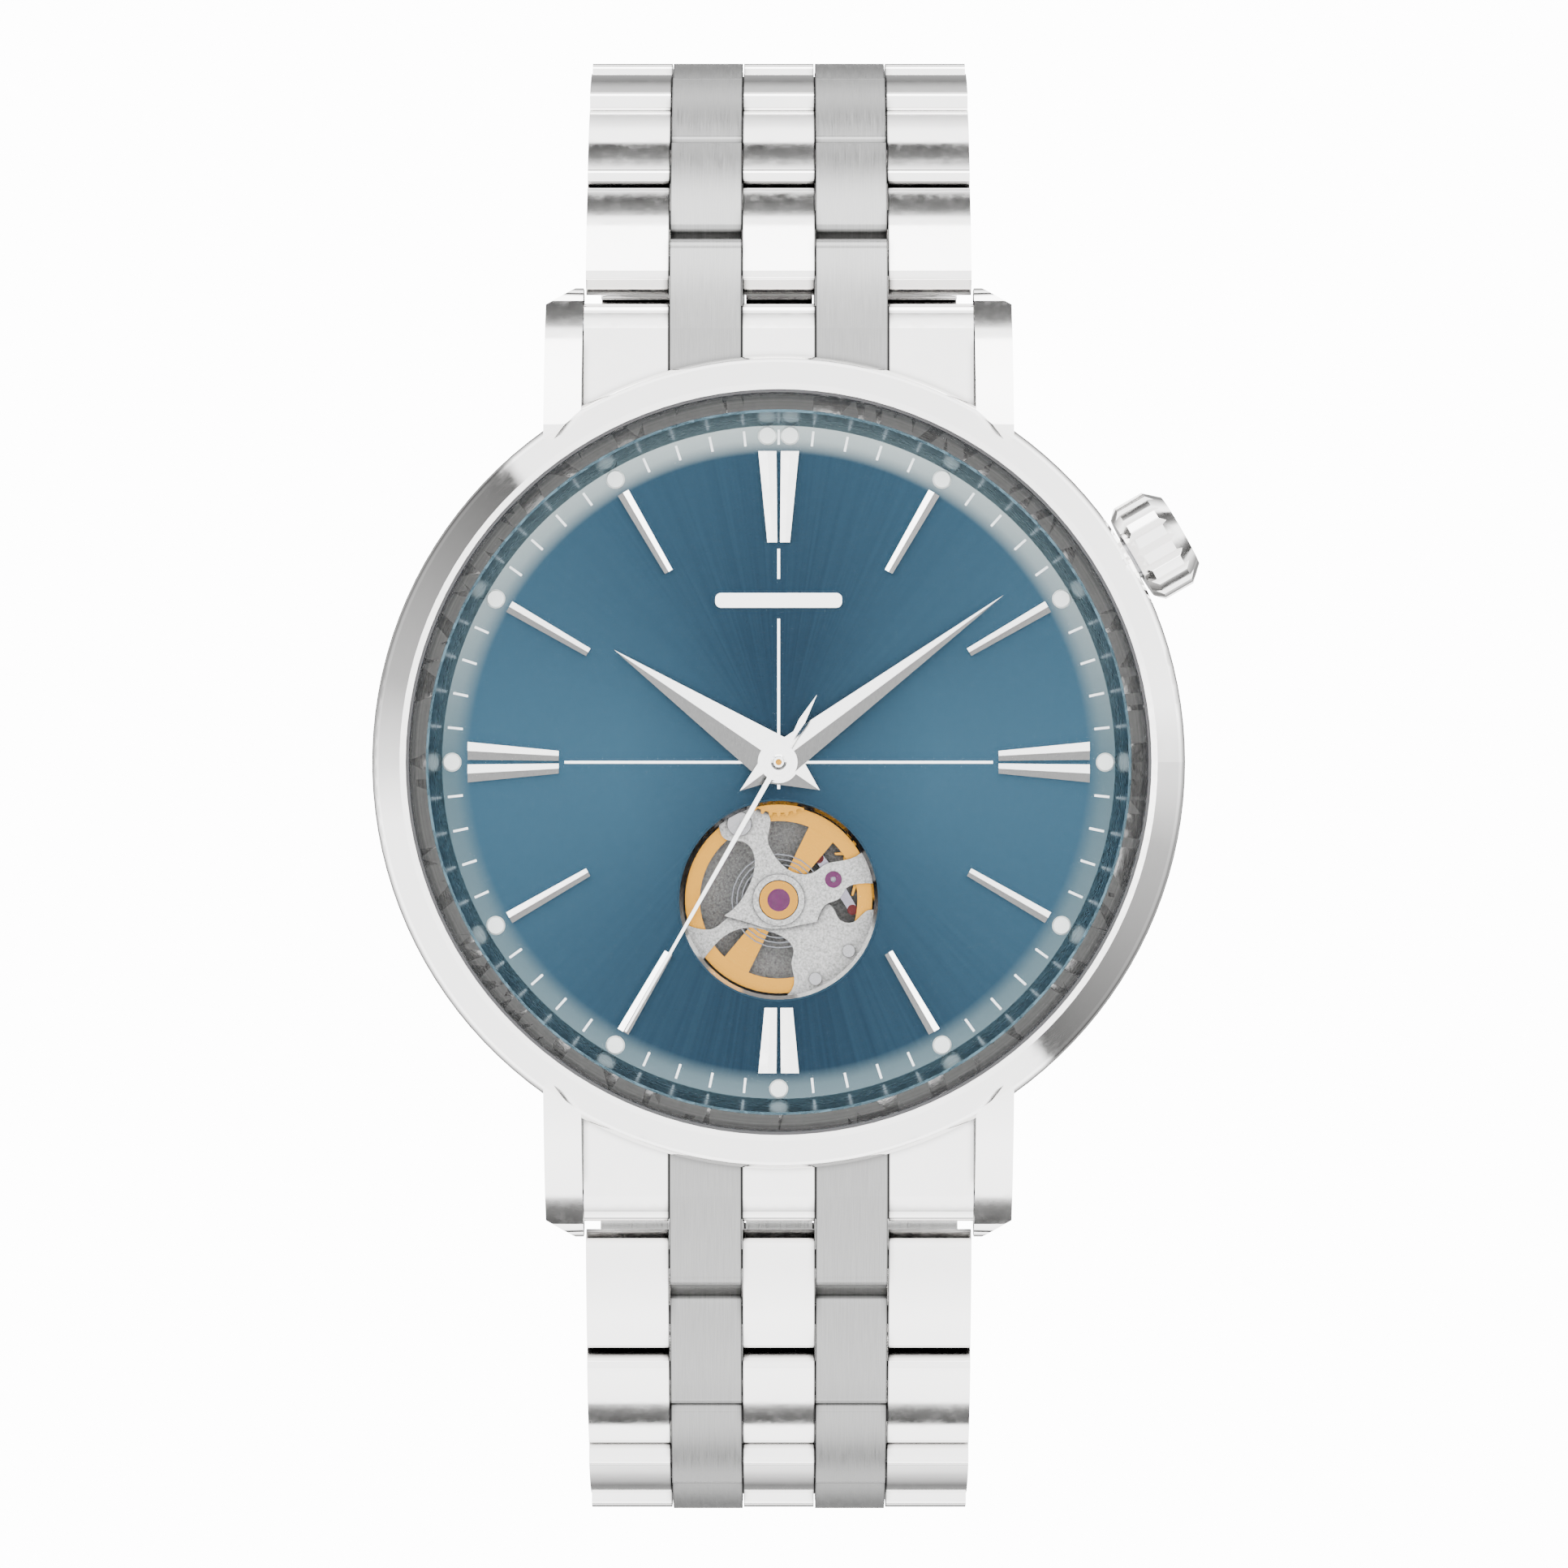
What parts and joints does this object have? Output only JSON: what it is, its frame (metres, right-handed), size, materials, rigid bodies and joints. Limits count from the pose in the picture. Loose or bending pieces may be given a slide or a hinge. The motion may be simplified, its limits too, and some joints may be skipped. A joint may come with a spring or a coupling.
{
  "type": "open-heart wristwatch",
  "caption": "Automatic wristwatch with a blue dial, a round balance window, dauphine hands, a fluted crown and a folding-clasp link bracelet.",
  "frame": {"origin": "centre of the case back's outer face, on the hands' axis", "axes": "+Z towards 12 o'clock, +X towards 3 o'clock, -Y out of the dial towards the reader, +Y out of the case back"},
  "size_m": [0.0419, 0.0523, 0.0763],
  "materials": {
    "polished_steel": "mirror polished",
    "brushed_steel": "fine lengthwise brushing",
    "facet_steel": "polished facets",
    "sapphire": "clear, coated",
    "black_rubber": "matt",
    "blue_dial": "sunray lacquer",
    "pearl_lume": "satin",
    "holder_plastic": "matt",
    "frosted_nickel": "frosted plating",
    "gilt_brass": "gilt, satin",
    "ruby": "polished",
    "movement_steel": "fine grey steel",
    "rotor_weight": "striped nickel plate"
  },
  "bodies": {
    "case": {"case_middle": "polished_steel", "crystal": "sapphire", "gaskets": "black_rubber", "rehaut_ring": "blue_dial", "case_back": "brushed_steel", "case_back_glass": "sapphire", "movement_holder": "holder_plastic", "crown_tube": "movement_steel", "dial": "blue_dial", "window_ring": "facet_steel", "dial_markers": "facet_steel", "lume_dots": "pearl_lume", "mainplate": "frosted_nickel", "balance_bridge": "frosted_nickel", "train_bridge": "frosted_nickel", "jewels": "ruby", "movement_screws": "movement_steel", "rotor_bearing": "movement_steel", "spring_bars": "movement_steel", "end_link_upper": "polished_steel", "end_link_lower": "polished_steel"},
    "upper_link_1": {"upper_link_1": "brushed_steel"},
    "upper_link_2": {"upper_link_2": "brushed_steel"},
    "upper_link_3": {"upper_link_3": "brushed_steel"},
    "upper_link_4": {"upper_link_4": "brushed_steel"},
    "upper_link_5": {"upper_link_5": "brushed_steel"},
    "upper_link_6": {"upper_link_6": "brushed_steel"},
    "upper_link_7": {"upper_link_7": "brushed_steel"},
    "upper_link_8": {"upper_link_8": "brushed_steel"},
    "lower_link_1": {"lower_link_1": "brushed_steel"},
    "lower_link_2": {"lower_link_2": "brushed_steel"},
    "lower_link_3": {"lower_link_3": "brushed_steel"},
    "lower_link_4": {"lower_link_4": "brushed_steel"},
    "lower_link_5": {"lower_link_5": "brushed_steel"},
    "lower_link_6": {"lower_link_6": "brushed_steel"},
    "lower_link_7": {"lower_link_7": "brushed_steel"},
    "clasp_cover": {"clasp_cover": "brushed_steel"},
    "clasp_outer_blade": {"clasp_outer_blade": "brushed_steel"},
    "clasp_inner_blade": {"clasp_inner_blade": "brushed_steel"},
    "clasp_button_right": {"clasp_button_right": "polished_steel"},
    "clasp_button_left": {"clasp_button_left": "polished_steel"},
    "minute_group": {"cannon_pinion": "movement_steel", "minute_hand": "facet_steel"},
    "hour_group": {"hour_wheel": "gilt_brass", "hour_hand": "facet_steel"},
    "minute_wheel": {"minute_wheel": "gilt_brass"},
    "seconds_group": {"fourth_wheel": "gilt_brass", "seconds_hand": "facet_steel"},
    "third_wheel": {"third_wheel": "gilt_brass"},
    "centre_wheel": {"centre_wheel": "gilt_brass"},
    "barrel": {"barrel": "gilt_brass", "mainspring": "movement_steel"},
    "escape_wheel": {"escape_wheel": "gilt_brass"},
    "balance": {"balance_wheel": "gilt_brass", "hairspring": "movement_steel"},
    "pallet_fork": {"pallet_fork": "movement_steel"},
    "rotor": {"rotor": "rotor_weight"},
    "setting_lever": {"setting_lever": "movement_steel"},
    "crown": {"crown": "polished_steel", "winding_stem": "movement_steel"}
  },
  "joints": [
    {"name": "upper_hinge_1", "type": "hinge", "parent": "case", "child": "upper_link_1", "pos_m": [0, -0.0034, 0.0253], "axis": [1, 0, 0], "range_deg": [0, 33]},
    {"name": "upper_hinge_2", "type": "hinge", "parent": "upper_link_1", "child": "upper_link_2", "pos_m": [0, 0.00093, 0.03028], "axis": [1, 0, 0], "range_deg": [0, 13]},
    {"name": "upper_hinge_3", "type": "hinge", "parent": "upper_link_2", "child": "upper_link_3", "pos_m": [0, 0.00627, 0.03416], "axis": [1, 0, 0], "range_deg": [0, 22]},
    {"name": "upper_hinge_4", "type": "hinge", "parent": "upper_link_3", "child": "upper_link_4", "pos_m": [0, 0.01267, 0.03576], "axis": [1, 0, 0], "range_deg": [0, 17]},
    {"name": "upper_hinge_5", "type": "hinge", "parent": "upper_link_4", "child": "upper_link_5", "pos_m": [0, 0.01926, 0.03541], "axis": [1, 0, 0], "range_deg": [0, 15]},
    {"name": "upper_hinge_6", "type": "hinge", "parent": "upper_link_5", "child": "upper_link_6", "pos_m": [0, 0.02554, 0.03337], "axis": [1, 0, 0], "range_deg": [0, 16]},
    {"name": "upper_hinge_7", "type": "hinge", "parent": "upper_link_6", "child": "upper_link_7", "pos_m": [0, 0.03101, 0.02968], "axis": [1, 0, 0], "range_deg": [0, 17]},
    {"name": "upper_hinge_8", "type": "hinge", "parent": "upper_link_7", "child": "upper_link_8", "pos_m": [0, 0.03517, 0.02455], "axis": [1, 0, 0], "range_deg": [0, 17]},
    {"name": "lower_hinge_1", "type": "hinge", "parent": "case", "child": "lower_link_1", "pos_m": [0, -0.0034, -0.0253], "axis": [-1, 0, 0], "range_deg": [0, 19]},
    {"name": "lower_hinge_2", "type": "hinge", "parent": "lower_link_1", "child": "lower_link_2", "pos_m": [0, -0.0004, -0.03118], "axis": [-1, 0, 0], "range_deg": [0, 19]},
    {"name": "lower_hinge_3", "type": "hinge", "parent": "lower_link_2", "child": "lower_link_3", "pos_m": [0, 0.00434, -0.03577], "axis": [-1, 0, 0], "range_deg": [0, 25]},
    {"name": "lower_hinge_4", "type": "hinge", "parent": "lower_link_3", "child": "lower_link_4", "pos_m": [0, 0.01058, -0.03791], "axis": [-1, 0, 0], "range_deg": [0, 20]},
    {"name": "lower_hinge_5", "type": "hinge", "parent": "lower_link_4", "child": "lower_link_5", "pos_m": [0, 0.01718, -0.0378], "axis": [-1, 0, 0], "range_deg": [0, 19]},
    {"name": "lower_hinge_6", "type": "hinge", "parent": "lower_link_5", "child": "lower_link_6", "pos_m": [0, 0.02339, -0.03554], "axis": [-1, 0, 0], "range_deg": [0, 19]},
    {"name": "lower_hinge_7", "type": "hinge", "parent": "lower_link_6", "child": "lower_link_7", "pos_m": [0, 0.02851, -0.03139], "axis": [-1, 0, 0], "range_deg": [0, 20]},
    {"name": "clasp_hinge", "type": "hinge", "parent": "lower_link_7", "child": "clasp_cover", "pos_m": [0, 0.03191, -0.02573], "axis": [-1, 0, 0], "range_deg": [0, 6.61]},
    {"name": "outer_blade_hinge", "type": "hinge", "parent": "clasp_cover", "child": "clasp_outer_blade", "pos_m": [0, 0.03819, 0.01578], "axis": [-1, 0, 0], "range_deg": [0, 176]},
    {"name": "inner_blade_hinge", "type": "hinge", "parent": "clasp_outer_blade", "child": "clasp_inner_blade", "pos_m": [0, 0.03301, -0.02197], "axis": [1, 0, 0], "range_deg": [0, 176]},
    {"name": "right_button", "type": "slide", "parent": "clasp_cover", "child": "clasp_button_right", "axis": [-1, 0, 0], "range_m": [0, 0.0006], "stiffness_N_per_m": 400, "springref_m": -0.0005},
    {"name": "left_button", "type": "slide", "parent": "clasp_cover", "child": "clasp_button_left", "axis": [1, 0, 0], "range_m": [0, 0.0006], "stiffness_N_per_m": 400, "springref_m": -0.0005},
    {"name": "minute_spin", "type": "hinge", "parent": "case", "child": "minute_group", "pos_m": [0, -0.0085, 0], "axis": [0, 1, 0], "continuous": true},
    {"name": "hour_spin", "type": "hinge", "parent": "case", "child": "hour_group", "pos_m": [0, -0.0081, 0], "axis": [0, 1, 0], "continuous": true},
    {"name": "minute_wheel_spin", "type": "hinge", "parent": "case", "child": "minute_wheel", "pos_m": [0.00264, -0.0067, 0.00221], "axis": [0, 1, 0], "continuous": true},
    {"name": "seconds_spin", "type": "hinge", "parent": "case", "child": "seconds_group", "pos_m": [0, -0.006, 0], "axis": [0, 1, 0], "continuous": true},
    {"name": "third_wheel_spin", "type": "hinge", "parent": "case", "child": "third_wheel", "pos_m": [-0.00601, -0.0035, -0.00219], "axis": [0, 1, 0], "continuous": true},
    {"name": "centre_wheel_spin", "type": "hinge", "parent": "case", "child": "centre_wheel", "pos_m": [0, -0.004, 0], "axis": [0, 1, 0], "continuous": true},
    {"name": "barrel_spin", "type": "hinge", "parent": "case", "child": "barrel", "pos_m": [0.0027, -0.0036, 0.00468], "axis": [0, 1, 0], "continuous": true},
    {"name": "escape_wheel_spin", "type": "hinge", "parent": "case", "child": "escape_wheel", "pos_m": [0.00475, -0.005, -0.0051], "axis": [0, 1, 0], "continuous": true},
    {"name": "balance_swing", "type": "hinge", "parent": "case", "child": "balance", "pos_m": [0, -0.0054, -0.00697], "axis": [0, 1, 0], "range_deg": [-270, 270], "stiffness_Nm_per_rad": 0.0000005},
    {"name": "fork_swing", "type": "hinge", "parent": "case", "child": "pallet_fork", "pos_m": [0.00277, -0.005, -0.00593], "axis": [0, 1, 0], "range_deg": [-5, 5]},
    {"name": "rotor_spin", "type": "hinge", "parent": "case", "child": "rotor", "pos_m": [0, -0.0023, 0], "axis": [0, 1, 0], "continuous": true},
    {"name": "crown_pull", "type": "slide", "parent": "case", "child": "setting_lever", "axis": [0.866, 0, 0.5], "range_m": [0, 0.001]},
    {"name": "crown_turn", "type": "hinge", "parent": "setting_lever", "child": "crown", "pos_m": [0.01905, -0.0049, 0.011], "axis": [0.866, 0, 0.5], "continuous": true}
  ],
  "couplings": [
    {"joint": "upper_hinge_1", "follows": "lower_hinge_1", "ratio": 1.7368},
    {"joint": "upper_hinge_2", "follows": "lower_hinge_1", "ratio": 0.68421},
    {"joint": "upper_hinge_3", "follows": "lower_hinge_1", "ratio": 1.1579},
    {"joint": "upper_hinge_4", "follows": "lower_hinge_1", "ratio": 0.89474},
    {"joint": "upper_hinge_5", "follows": "lower_hinge_1", "ratio": 0.78947},
    {"joint": "upper_hinge_6", "follows": "lower_hinge_1", "ratio": 0.8421},
    {"joint": "upper_hinge_7", "follows": "lower_hinge_1", "ratio": 0.89474},
    {"joint": "upper_hinge_8", "follows": "lower_hinge_1", "ratio": 0.89474},
    {"joint": "lower_hinge_2", "follows": "lower_hinge_1", "ratio": 1},
    {"joint": "lower_hinge_3", "follows": "lower_hinge_1", "ratio": 1.3158},
    {"joint": "lower_hinge_4", "follows": "lower_hinge_1", "ratio": 1.0526},
    {"joint": "lower_hinge_5", "follows": "lower_hinge_1", "ratio": 1},
    {"joint": "lower_hinge_6", "follows": "lower_hinge_1", "ratio": 1},
    {"joint": "lower_hinge_7", "follows": "lower_hinge_1", "ratio": 1.0526},
    {"joint": "clasp_hinge", "follows": "lower_hinge_1", "ratio": 0.34809},
    {"joint": "outer_blade_hinge", "follows": "lower_hinge_1", "ratio": 9.2632},
    {"joint": "inner_blade_hinge", "follows": "lower_hinge_1", "ratio": 9.2632},
    {"joint": "hour_spin", "follows": "minute_spin", "ratio": 0.083333},
    {"joint": "minute_wheel_spin", "follows": "minute_spin", "ratio": -0.33333},
    {"joint": "third_wheel_spin", "follows": "seconds_spin", "ratio": -0.13333},
    {"joint": "centre_wheel_spin", "follows": "seconds_spin", "ratio": 0.016667},
    {"joint": "barrel_spin", "follows": "seconds_spin", "ratio": -0.0023148},
    {"joint": "escape_wheel_spin", "follows": "seconds_spin", "ratio": -9}
  ]
}
